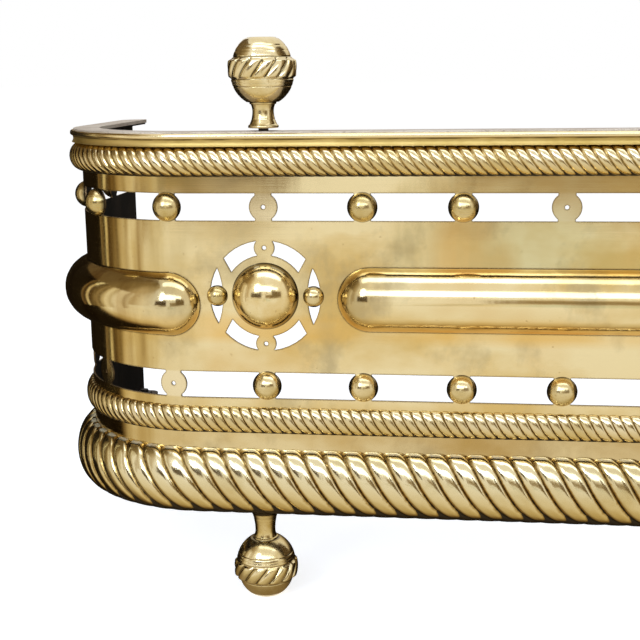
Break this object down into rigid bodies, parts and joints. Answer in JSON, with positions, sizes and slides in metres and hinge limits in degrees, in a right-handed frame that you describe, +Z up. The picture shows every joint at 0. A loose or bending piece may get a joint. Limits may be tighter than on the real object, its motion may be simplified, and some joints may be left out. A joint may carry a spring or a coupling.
{
  "type": "fire fender",
  "caption": "U-shaped pierced brass hearth fender with rounded corners, embossed panels, half-ball studs, rope mouldings, an iron top rail, ball finials and ball feet.",
  "frame": {"origin": "centre of the bounding box in plan, on the floor under the feet", "axes": "+X along the front to the right as seen from the room, +Y from the front towards the fireplace, +Z up"},
  "size_m": [1.2124, 0.2246, 0.3722],
  "materials": {
    "brass_sheet": "aged satin brass, brushed and lightly scratched",
    "rope_brass": "worn polished brass with dark grooves",
    "turned_brass": "dull polished brass with dark hollows",
    "rail_iron": "dull grey-brown oxidised wrought iron",
    "black_iron": "black oxidised wrought iron"
  },
  "bodies": {
    "root": {"fret_sheet": "brass_sheet", "top_rail": "rail_iron", "rail_nosing": "brass_sheet", "upper_rope": "rope_brass", "lower_rope": "rope_brass", "base_rope": "rope_brass", "base_bar": "black_iron", "dome_left": "brass_sheet", "dome_right": "brass_sheet", "upper_studs": "turned_brass", "lower_studs": "turned_brass", "roundel_studs": "turned_brass", "finial_left": "turned_brass", "finial_right": "turned_brass", "finial_stud_left": "black_iron", "finial_stud_right": "black_iron", "front_foot_left": "turned_brass", "front_foot_right": "turned_brass", "rear_foot_left": "turned_brass", "rear_foot_right": "turned_brass", "front_foot_stud_left": "black_iron", "front_foot_stud_right": "black_iron", "rear_foot_stud_left": "black_iron", "rear_foot_stud_right": "black_iron", "rail_nuts": "black_iron", "base_nuts": "black_iron", "foot_spacers": "black_iron", "rail_screws": "rail_iron", "base_screws": "black_iron"}
  },
  "joints": []
}
